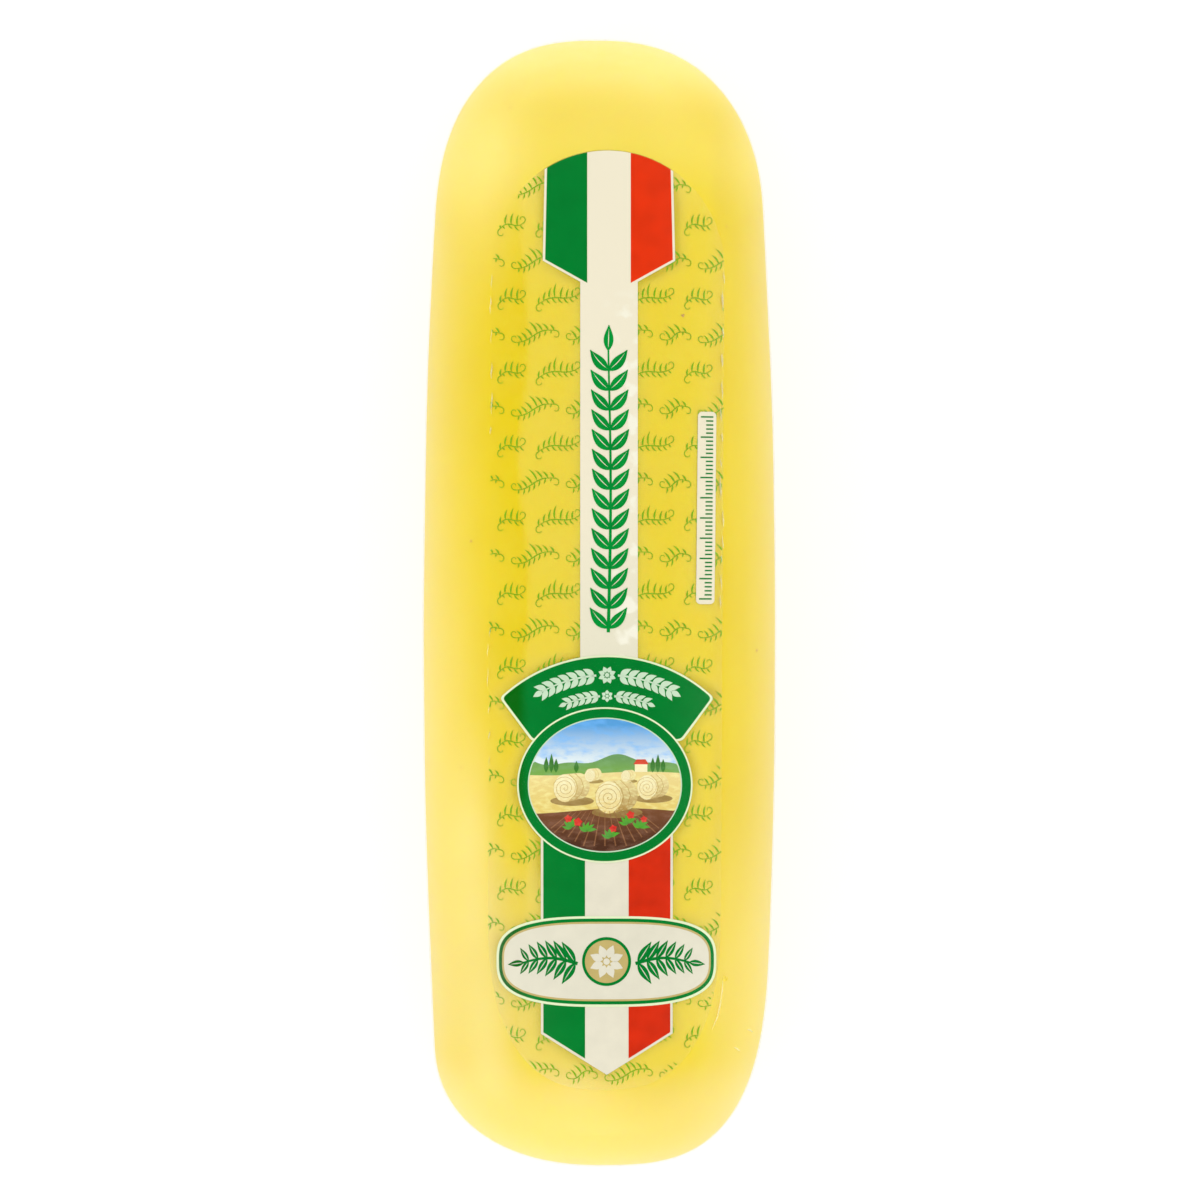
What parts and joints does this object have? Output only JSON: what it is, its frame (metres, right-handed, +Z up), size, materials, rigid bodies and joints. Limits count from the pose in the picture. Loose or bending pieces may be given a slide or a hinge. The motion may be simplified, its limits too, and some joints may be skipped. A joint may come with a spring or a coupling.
{
  "type": "provolone cheese",
  "caption": "Whole log of provolone cheese with round ends, shrink-wrapped in clear film, lying flat with its long printed label up.",
  "frame": {"origin": "middle of the box's base, on the flat the log rests on", "axes": "+Z up through the label, +Y along the log towards its head end, +X to the right of the label seen from above with the head end up"},
  "size_m": [0.1314, 0.42, 0.1144],
  "materials": {
    "cheese": "pale yellow cheese under tight glossy clear film",
    "label_film": "clear yellow-tinted printed film lying on the cheese",
    "print_cream": "cream printing ink under film",
    "print_green": "green printing ink under film",
    "print_red": "red printing ink under film",
    "print_tan": "tan printing ink under film",
    "print_picture": "printed picture under film"
  },
  "bodies": {
    "root": {"cheese_in_film": "cheese", "label_film": "label_film", "centre_strip": "print_cream", "head_flag_green": "print_green", "head_flag_red": "print_red", "title_banner": "print_green", "picture_ring": "print_green", "picture_field": "print_picture", "foot_flag_green_upper": "print_green", "foot_flag_cream_upper": "print_cream", "foot_flag_red_upper": "print_red", "foot_flag_green_lower": "print_green", "foot_flag_cream_lower": "print_cream", "foot_flag_red_lower": "print_red", "badge_rim": "print_green", "badge_plate": "print_cream", "badge_medallion": "print_tan", "notice_strip": "print_cream"}
  },
  "joints": []
}
